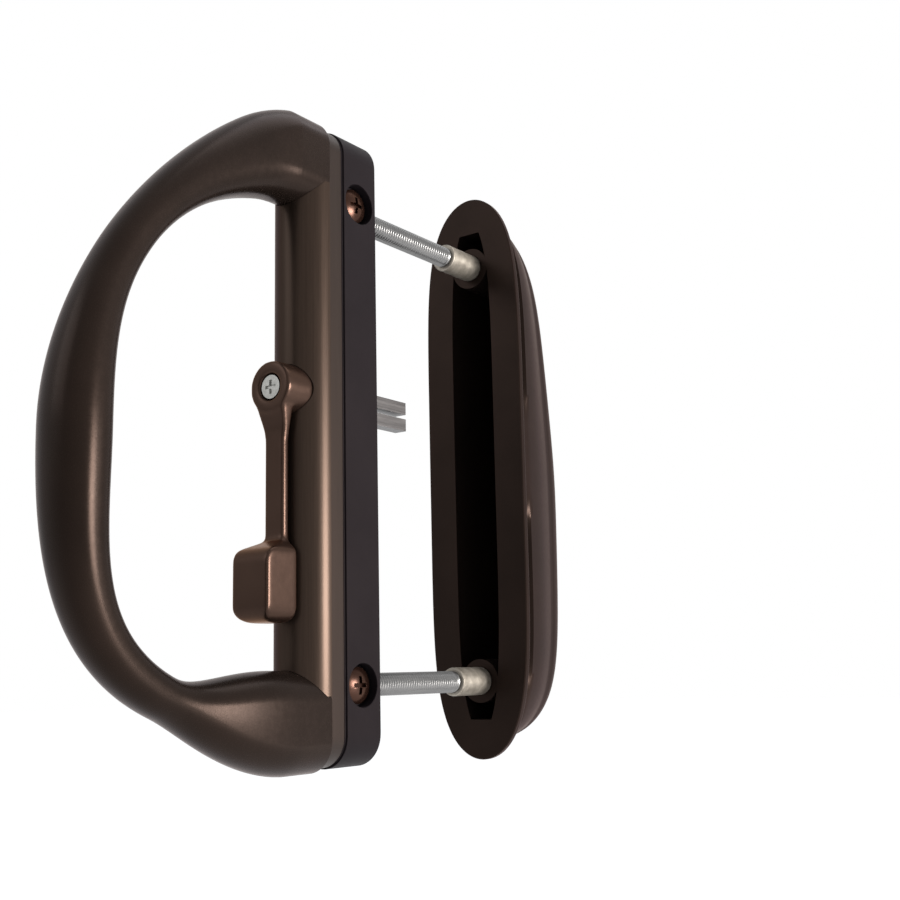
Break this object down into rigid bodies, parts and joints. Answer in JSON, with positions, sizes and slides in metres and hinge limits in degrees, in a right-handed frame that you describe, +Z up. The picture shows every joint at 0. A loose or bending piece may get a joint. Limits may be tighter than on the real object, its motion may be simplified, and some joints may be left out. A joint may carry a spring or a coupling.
{
  "type": "sliding patio door handle",
  "caption": "Sliding patio door handle: inside D pull with a turning thumb lever and tail bar, through studs and a scooped outside finger pull on round posts.",
  "frame": {"origin": "on the door's inside face, midway between the two through studs", "axes": "+Z up along the handle, +Y from the room through the door to the outdoors"},
  "size_m": [0.027, 0.1493, 0.1356],
  "materials": {
    "bronze_paint": "satin",
    "bronze_anodised": "satin",
    "bronze_plate": "satin",
    "bronze_lever": "satin",
    "bronze_pull": "satin",
    "copper_screw": "satin",
    "zinc_screw": "satin",
    "steel": "satin",
    "tail_steel": "satin",
    "cast_zinc": "matt",
    "nylon": "matt"
  },
  "bodies": {
    "handle": {"grip_bow": "bronze_paint", "grip_column": "bronze_anodised", "spacer_plate": "bronze_plate", "base_rail": "bronze_plate", "upper_grip_screw": "zinc_screw", "lower_grip_screw": "zinc_screw", "upper_clamp_screw": "copper_screw", "lower_clamp_screw": "copper_screw", "upper_door_stud": "steel", "lower_door_stud": "steel", "lever_bush": "nylon", "lever_washer": "steel", "outside_pull": "bronze_pull", "upper_pull_post": "cast_zinc", "lower_pull_post": "cast_zinc"},
    "lever": {"thumb_lever": "bronze_lever", "lever_screw": "zinc_screw", "latch_tail": "tail_steel", "lever_clip": "steel"}
  },
  "joints": [
    {"name": "lever_turn", "type": "hinge", "parent": "handle", "child": "lever", "pos_m": [0, -0.0185, 0.008], "axis": [0, 1, 0], "range_deg": [-45, 45]}
  ]
}
